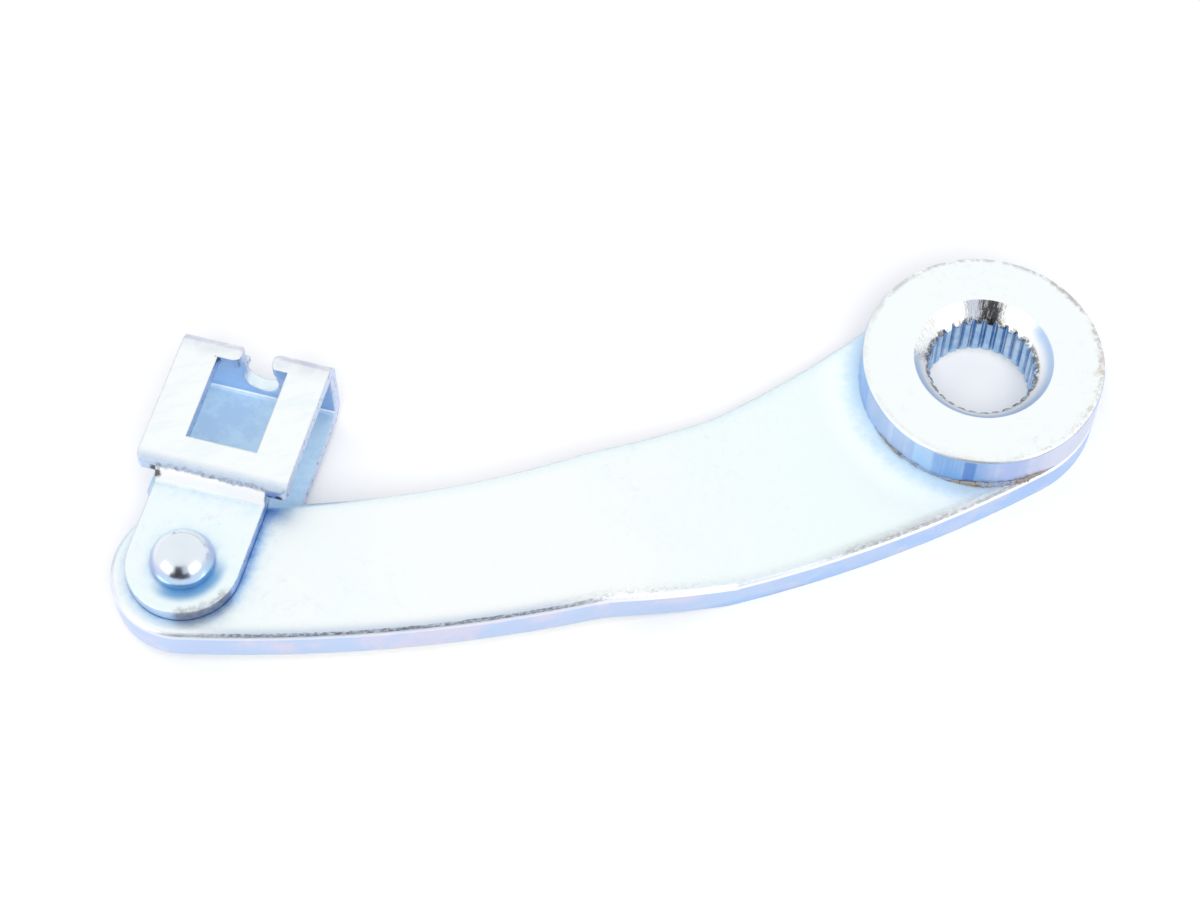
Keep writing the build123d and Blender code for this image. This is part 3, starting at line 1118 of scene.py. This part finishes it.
    def grey_nose(self, coat: Coat, at: SheetPlace, front: Socket) -> None:
        """Paints shade on the front plate's nose, with a dashed dark line of specks and painted shade, over
        a painted highlight on the web.

        Args:
            coat: The clip's coat.
            at: Where the surface lies.
            front: The mask of what stands as high as the front plate.
        """
        slope = coat.roughen(at.ahead, 0.22, 900.0, 3.0, 0.6)
        bend = coat.times(coat.fade(slope, -0.62, -0.08), coat.ramp(slope, -0.82, -0.70))
        # Painted shade on the nose's bend.
        coat.paint(self.nose_shade, front, bend, 0.85)
        aside = coat.math("ABSOLUTE", coat.measure("DOT_PRODUCT", at.offset, self.rightward))
        line = coat.times(
            front, coat.ramp(slope, -0.84, -0.78), coat.fade(slope, -0.66, -0.52),
            coat.fade(aside, 5.6 * MM, 6.4 * MM),
        )
        flecks = coat.ramp(coat.grain(2600.0, 6.0, 0.85), 0.36, 0.64)
        dashes = coat.times(line, flecks, coat.ramp(at.grit, 0.34, 0.60, 0.35, 1.0))
        # A dashed line of specks and painted shade.
        coat.paint(self.nose_line_specks_and_shade, dashes, 0.90)
        coat.scar = coat.times(dashes, 0.5)
        sloped = coat.times(coat.fade(slope, -0.82, -0.72), coat.ramp(at.upward, 0.20, 0.28))
        # A painted highlight on the web.
        coat.paint(self.web_highlight, sloped)
        coat.metal = coat.times(coat.metal, coat.ramp(sloped, 0.0, 1.0, 1.0, self.web_metal))

    def colour_edges(self, coat: Coat, at: SheetPlace) -> None:
        """Paints blue shade on the sheet's sheared side edges and nicks them.

        Args:
            coat: The clip's coat.
            at: Where the surface lies.
        """
        facing = coat.math("ADD", coat.math("ABSOLUTE", at.ahead), coat.math("ABSOLUTE", at.upward))
        edges = coat.fade(facing, 0.2, 0.6)
        # Painted shade on the side edges, facing sideways.
        coat.paint(self.edge_shade, edges, 0.75)
        nicks = coat.times(edges, coat.ramp(at.grit, 0.55, 0.64))
        coat.paint(self.speck, nicks, 0.8)
        coat.scar = coat.math("ADD", coat.scar, coat.times(nicks, 0.5), clamp=True)

    def soil_corners(self, coat: Coat) -> None:
        """Puts black grime in the two nicks, at the window's corner and on the ear's end.

        Args:
            coat: The clip's coat.
        """
        pivot = Vector(self.pivot)
        for spot, radius in (
            (self.left_nick, 0.90 * MM), (self.right_nick, 0.60 * MM),
            (self.right_end, 0.55 * MM), (self.window_corner, 0.50 * MM),
        ):
            aside, ahead, height = spot
            centre = pivot + self.forward * ahead + self.rightward * aside + Vector((0.0, 0.0, height))
            coat.paint(self.soil, coat.spot(centre, radius, 1.8), self.soil_share)
        for turn in range(-104, -55, 12):
            angle = math.radians(turn)
            reach = Vector((math.cos(angle), math.sin(angle), 0.0)) * self.ear_edge
            centre = pivot + reach + Vector((0.0, 0.0, self.ear_top - 0.7 * MM))
            coat.paint(self.smear, coat.spot(centre, self.smear_radius, 0.9), self.smear_share)

    def ring_rivet(self, coat: Coat, at: SheetPlace) -> None:
        """Draws a blue crescent of painted shadow on the ear beside the rivet's head.

        Args:
            coat: The clip's coat.
            at: Where the surface lies.
        """
        across, along, _ = coat.parts(at.offset)
        away = coat.flat_length(across, along)
        ring = coat.fade(away, self.head_radius + 0.6 * MM, self.head_radius + 1.7 * MM)
        nearer = coat.math("SUBTRACT", coat.times(across, 0.10), coat.times(along, 0.99))
        near_side = coat.ramp(coat.math("DIVIDE", nearer, away), 0.20, 0.85)
        on_ear = coat.times(
            coat.ramp(at.height, self.ear_top - 0.2 * MM, self.ear_top - 0.05 * MM),
            coat.fade(at.height, self.ear_top + 0.1 * MM, self.ear_top + 0.3 * MM),
        )
        # A painted shadow on the near side of the rivet's head.
        coat.paint(self.rivet_shadow, ring, near_side, on_ear, 0.85)


@dataclass(frozen=True)
class RivetFinish(ZincFinish):
    """Polished steel on the rivet's head, a little scuffed, with painted lilac and pale blue reflections
    round its rim and a painted blue reflection on its side.
    """

    name: str = "polished_rivet"
    face: Colour = (0.800, 0.850, 0.900)
    # A painted blue reflection on the head's side.
    wall: Colour = (0.230, 0.400, 0.700)
    warm_wall: Colour = (0.300, 0.420, 0.700)
    cloud: Colour = (0.760, 0.820, 0.900)
    roughness: float = 0.17
    cloud_amount: float = 0.5
    fleck_amount: float = 0.25
    cloud_scale: float = 420.0
    grime_amount: float = 0.2
    wear_amount: float = 0.0
    relief: float = 0.004 * MM
    rounding: float = 0.20 * MM
    # Painted reflections on the head's rim.
    lilac_reflection: Colour = (0.500, 0.520, 0.780)
    near_rim_reflection: Colour = (0.520, 0.720, 0.880)

    def mark(self, coat: Coat) -> None:
        """Paints reflections on the head's rim, lilac on the far side and pale blue on the near one.

        Args:
            coat: The rivet's coat.
        """
        _, along, upward = coat.parts(coat.normal)
        rim = coat.ramp(upward, 0.44, 0.68, 0.7, 0.0)
        # Painted reflections round the rim, pale blue on the near side.
        coat.paint(self.lilac_reflection, rim)
        coat.paint(self.near_rim_reflection, rim, coat.fade(along, -0.60, -0.25))


@dataclass(frozen=True)
class SeamFinish:
    """The gritty residue in the seam at the hub's foot, half of it plated over."""

    name: str = "seam_residue"
    light: Colour = (0.360, 0.315, 0.285)
    dark: Colour = (0.080, 0.065, 0.055)
    plated: Colour = (0.480, 0.620, 0.880)
    relief: float = 0.06 * MM

    def build(self) -> bpy.types.Material:
        """Builds the material.

        Returns:
            The finished material.
        """
        coat = Coat(self.name)
        grit = coat.grain(1500.0, 5.0, 0.75)
        patches = coat.ramp(coat.grain(330.0, 3.0, 0.6), 0.42, 0.60)
        coat.tone = coat.blend(coat.ramp(grit, 0.36, 0.54), self.dark, self.light)
        coat.paint(self.plated, patches, 0.55)
        bump = coat.add("ShaderNodeBump", {"Height": grit, "Distance": self.relief})
        return coat.finish({
            "Base Color": coat.tone, "Metallic": coat.times(patches, 0.6),
            "Roughness": coat.ramp(grit, 0.3, 0.7, 0.85, 0.55), "Normal": bump.outputs["Normal"],
        })


def add_object(name: str, data: bpy.types.ID) -> bpy.types.Object:
    """Puts a new object in the scene.

    Args:
        name: The object's name.
        data: Its mesh, lamp or camera.

    Returns:
        The object.
    """
    thing = bpy.data.objects.new(name, data)
    bpy.context.scene.collection.objects.link(thing)
    return thing


def add_mesh(name: str, mesh: bmesh.types.BMesh, material: bpy.types.Material) -> bpy.types.Object:
    """Turns a working mesh into an object in the scene.

    Args:
        name: The object's name.
        mesh: The working mesh, which is freed.
        material: The object's finish.

    Returns:
        The object.
    """
    data = bpy.data.meshes.new(name)
    mesh.to_mesh(data)
    mesh.free()
    data.materials.append(material)
    return add_object(name, data)


def aim(direction: Vector) -> Euler:
    """Returns the turn that points a lamp or a camera in a direction."""
    return direction.to_track_quat("-Z", "Y").to_euler()


@dataclass
class LeverPiece:
    """A carried-over node of the lever and its finish."""

    node: str
    finish: ZincFinish

    def dress(self, nodes: dict[str, bpy.types.Object], effects: EffectSet) -> None:
        """Gives the node its finish.

        Args:
            nodes: The carried-over nodes by name.
            effects: The shared effects.
        """
        material = self.finish.build(effects)
        for slot in nodes[self.node].material_slots:
            slot.material = material
        LOG.info("dressed %s in %s", self.node, material.name)


@dataclass
class LeverPlate(LeverPiece):
    """The cranked plate."""

    node: str = "lever_arm"
    finish: ZincFinish = PlateFinish()


@dataclass
class SerratedHub(LeverPiece):
    """The boss with its serrated bore, and the gritty seam round its foot."""

    node: str = "splined_hub"
    finish: ZincFinish = HubFinish()
    seat_height: float = 4.35 * MM
    boss_radius: float = 13.0 * MM
    bead_size: float = 0.38 * MM
    thinnest: float = 0.03 * MM
    wander: float = 0.22 * MM
    taper: float = 7.0
    bead_start: float = math.radians(191.0)
    bead_finish: float = math.radians(288.0)
    bead_steps: int = 420
    bead_sides: int = 10

    def dress(self, nodes: dict[str, bpy.types.Object], effects: EffectSet) -> None:
        """Gives the hub its plating and builds the seam.

        Args:
            nodes: The carried-over nodes by name.
            effects: The shared effects.
        """
        super().dress(nodes, effects)
        seam = self.build_seam(SeamFinish().build())
        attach(seam, Body.ARM.value)
        LOG.info("built %s", seam.name)

    def build_seam(self, material: bpy.types.Material) -> bpy.types.Object:
        """Sweeps a lumpy bead along the boss's foot, thin at its ends.

        Args:
            material: The seam's finish.

        Returns:
            The seam's object.
        """
        mesh = bmesh.new()
        rings = [self.bead_ring(mesh, step / self.bead_steps) for step in range(self.bead_steps + 1)]
        for first, second in zip(rings, rings[1:]):
            for side in range(self.bead_sides):
                after = (side + 1) % self.bead_sides
                mesh.faces.new((first[side], first[after], second[after], second[side]))
        mesh.faces.new(rings[0])
        mesh.faces.new(list(reversed(rings[-1])))
        bmesh.ops.recalc_face_normals(mesh, faces=mesh.faces)
        for face in mesh.faces:
            face.smooth = True
        return add_mesh("hub_seam", mesh, material)

    def bead_ring(self, mesh: bmesh.types.BMesh, share: float) -> list[bmesh.types.BMVert]:
        """Adds one lumpy ring of the bead.

        Args:
            mesh: The working mesh.
            share: How far along the bead the ring lies, from 0 to 1.

        Returns:
            The ring's vertices in order.
        """
        angle = self.bead_start + share * (self.bead_finish - self.bead_start)
        outward = Vector((math.cos(angle), math.sin(angle), 0.0))
        spot = outward * self.boss_radius + Vector((0.0, 0.0, self.seat_height))
        spot.z += self.wander * noise.noise(spot / (1.7 * MM))
        lumps = noise.fractal(spot / (0.55 * MM), 0.8, 2.2, 4)
        broad = noise.noise(spot / (3.1 * MM))
        end = min(1.0, self.taper * share, self.taper * (1.0 - share))
        size = self.bead_size * end * (0.85 + 0.75 * broad) * (1.0 + 0.55 * lumps)
        size = max(size, self.thinnest)
        ring = []
        for side in range(self.bead_sides):
            turn = 2.0 * math.pi * side / self.bead_sides
            reach = outward * (math.cos(turn) * size * 0.7) + Vector((0.0, 0.0, math.sin(turn) * size))
            rough = 1.0 + 0.5 * noise.noise((spot + reach) / (0.16 * MM))
            ring.append(mesh.verts.new(spot + reach * rough))
        return ring


@dataclass
class CableClip(LeverPiece):
    """The folded clip that holds the cable's end."""

    node: str = "cable_clip"
    finish: ZincFinish = ClipFinish()


@dataclass
class PivotRivet(LeverPiece):
    """The rivet that the clip swings on."""

    node: str = "pivot_rivet"
    finish: ZincFinish = RivetFinish()


@dataclass
class Camera:
    """The camera, which stands in front of the lever and looks steeply down on it."""

    target: Point = (-41.24 * MM, 5.52 * MM, 0.0)
    distance: float = 304.4 * MM
    elevation: float = math.radians(59.87)
    azimuth: float = math.radians(-16.35)
    lens: float = 84.0
    sensor: float = 36.0
    nearest: float = 0.01
    farthest: float = 20.0

    def build(self) -> None:
        """Creates the camera and makes it the scene's own."""
        data = bpy.data.cameras.new("camera")
        data.lens = self.lens
        data.sensor_width = self.sensor
        data.sensor_fit = "HORIZONTAL"
        data.clip_start = self.nearest
        data.clip_end = self.farthest
        camera = add_object("camera", data)
        flat = math.cos(self.elevation)
        away = Vector((
            math.sin(self.azimuth) * flat, -math.cos(self.azimuth) * flat, math.sin(self.elevation),
        ))
        camera.location = Vector(self.target) + away * self.distance
        camera.rotation_euler = aim(-away)
        bpy.context.scene.camera = camera


@dataclass(frozen=True)
class Panel:
    """A part of the room that only the metal sees, with its angles in degrees."""

    colour: Colour
    azimuth: float
    half_width: float
    bottom: float
    top: float
    softness: float

    def mask(self, wiring: Wiring, azimuth: Socket, elevation: Socket) -> Feed:
        """Masks the panel.

        Args:
            wiring: The world's wiring.
            azimuth: The azimuth from +X, in degrees, that a ray leaves in.
            elevation: The ray's elevation in degrees.

        Returns:
            The mask's socket.
        """
        aside = wiring.apart(azimuth, self.azimuth)
        return wiring.times(
            wiring.fade(aside, self.half_width, self.half_width + self.softness),
            wiring.ramp(elevation, self.bottom - self.softness, self.bottom),
            wiring.fade(elevation, self.top, self.top + self.softness),
        )


@dataclass(frozen=True)
class Lamp:
    """A soft square lamp that the metal doesn't mirror, with its power in watts."""

    name: str
    place: Point
    size: float
    power: float
    colour: Colour
    target: Point = (-0.04, 0.0, 0.0)

    def build(self) -> None:
        """Hangs the lamp and points it at the lever."""
        data = bpy.data.lights.new(self.name, "AREA")
        data.size = self.size
        data.energy = self.power
        data.color = self.colour
        lamp = add_object(self.name, data)
        lamp.visible_glossy = False
        lamp.location = self.place
        lamp.rotation_euler = aim(Vector(self.target) - Vector(self.place))


@dataclass
class Studio:
    """The pale table, the soft lamps and the room that the metal mirrors."""

    floor_size: float = 4.0
    floor_drop: float = 0.02 * MM
    floor_colour: Colour = (0.80, 0.80, 0.80)
    floor_lift: float = 0.21
    shadow_reach: Span = (0.16, 0.40)
    room_level: float = 0.50
    room_colour: Colour = (0.93, 0.95, 1.0)
    mirror_colour: Colour = (1.0, 1.02, 1.02)
    dark_colour: Colour = (0.055, 0.053, 0.060)
    screen_colour: Colour = (0.62, 0.66, 0.76)
    box_colour: Colour = (3.0, 3.0, 3.0)

    def build(self) -> None:
        """Builds the world, the floor and the lamps."""
        self.build_world()
        self.build_floor()
        Lamp("key_lamp", (-0.12, -0.48, 0.80), size=0.60, power=6.0, colour=(1.0, 0.98, 0.95)).build()
        Lamp("back_lamp", (-0.35, 0.45, 0.75), size=0.55, power=1.5, colour=(0.97, 0.96, 1.0)).build()

    def panels(self) -> tuple[Panel, ...]:
        """Lists what the metal mirrors.

        Returns:
            A grey screen, a dark one with a wide foot, and two lamp boxes.
        """
        return (
            Panel(self.screen_colour, azimuth=-91.5, half_width=9.5, bottom=8.0, top=46.0, softness=8.0),
            Panel(self.dark_colour, azimuth=-115.5, half_width=13.0, bottom=6.0, top=44.0, softness=5.0),
            Panel(self.dark_colour, azimuth=-112.0, half_width=28.0, bottom=3.0, top=16.0, softness=5.0),
            Panel(self.box_colour, azimuth=-163.0, half_width=14.0, bottom=14.0, top=30.0, softness=7.0),
            Panel(self.box_colour, azimuth=-55.0, half_width=14.0, bottom=14.0, top=30.0, softness=7.0),
        )

    def build_world(self) -> None:
        """Builds the room: plain light for the table, white for the camera, a studio in the metal."""
        world = bpy.data.worlds.new("room")
        world.use_nodes = True
        bpy.context.scene.world = world
        world.node_tree.nodes.clear()
        wiring = Wiring(world.node_tree)
        x, y, z = wiring.parts(wiring.add("ShaderNodeTexCoord").outputs["Generated"])
        azimuth = wiring.times(wiring.math("ARCTAN2", y, x), DEGREES)
        elevation = wiring.times(wiring.math("ARCSINE", z), DEGREES)
        mirrored = self.mirror_colour
        for panel in self.panels():
            mirrored = wiring.blend(panel.mask(wiring, azimuth, elevation), mirrored, panel.colour)
        plain = wiring.add("ShaderNodeBackground", {"Color": self.room_colour, "Strength": self.room_level})
        studio = wiring.add("ShaderNodeBackground", {"Color": mirrored})
        white = wiring.add("ShaderNodeBackground", {"Color": (1.0, 1.0, 1.0)})
        path = wiring.add("ShaderNodeLightPath").outputs
        in_metal = wiring.math("MAXIMUM", path["Is Glossy Ray"], path["Is Transmission Ray"])
        room = wiring.add("ShaderNodeMixShader", {0: in_metal, 1: plain.outputs[0], 2: studio.outputs[0]})
        seen = wiring.add("ShaderNodeMixShader", {
            0: path["Is Camera Ray"], 1: room.outputs[0], 2: white.outputs[0],
        })
        wiring.add("ShaderNodeOutputWorld", {"Surface": seen.outputs[0]})

    def build_floor(self) -> None:
        """Builds the table, which is white where nothing shades it."""
        mesh = bmesh.new()
        bmesh.ops.create_grid(mesh, x_segments=1, y_segments=1, size=self.floor_size / 2)
        table = add_mesh("table", mesh, self.floor_material())
        table.location = (0.0, 0.0, -self.floor_drop)

    def floor_material(self) -> bpy.types.Material:
        """Builds the table's material: matt, with its own white for what looks at it.

        Returns:
            The material.
        """
        material = bpy.data.materials.new("table_white")
        material.use_nodes = True
        material.node_tree.nodes.clear()
        wiring = Wiring(material.node_tree)
        path = wiring.add("ShaderNodeLightPath").outputs
        seen = wiring.math("MAXIMUM", path["Is Glossy Ray"], path["Is Transmission Ray"])
        seen = wiring.math("MAXIMUM", seen, path["Is Camera Ray"])
        place = wiring.add("ShaderNodeNewGeometry").outputs["Position"]
        far = wiring.ramp(wiring.measure("LENGTH", place), *self.shadow_reach)
        matt = wiring.add("ShaderNodeBsdfDiffuse", {"Color": self.floor_colour})
        lift = wiring.add("ShaderNodeEmission", {"Strength": wiring.times(seen, self.floor_lift)})
        both = wiring.add("ShaderNodeAddShader", {0: matt.outputs[0], 1: lift.outputs[0]})
        white = wiring.add("ShaderNodeEmission")
        mixed = wiring.add("ShaderNodeMixShader", {
            0: wiring.times(far, seen), 1: both.outputs[0], 2: white.outputs[0],
        })
        wiring.add("ShaderNodeOutputMaterial", {"Surface": mixed.outputs[0]})
        return material


def main() -> None:
    """Builds the lever's looks, the studio and the camera."""
    logging.basicConfig(level=logging.INFO, format="%(name)s: %(message)s")
    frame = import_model()
    bpy.context.scene.view_settings.view_transform = "Standard"
    Camera().build()
    Studio().build()
    effects = EffectSet()
    for assembly in (LeverPlate(), SerratedHub(), CableClip(), PivotRivet()):
        assembly.dress(frame["nodes"], effects)


if __name__ == "__main__":
    main()
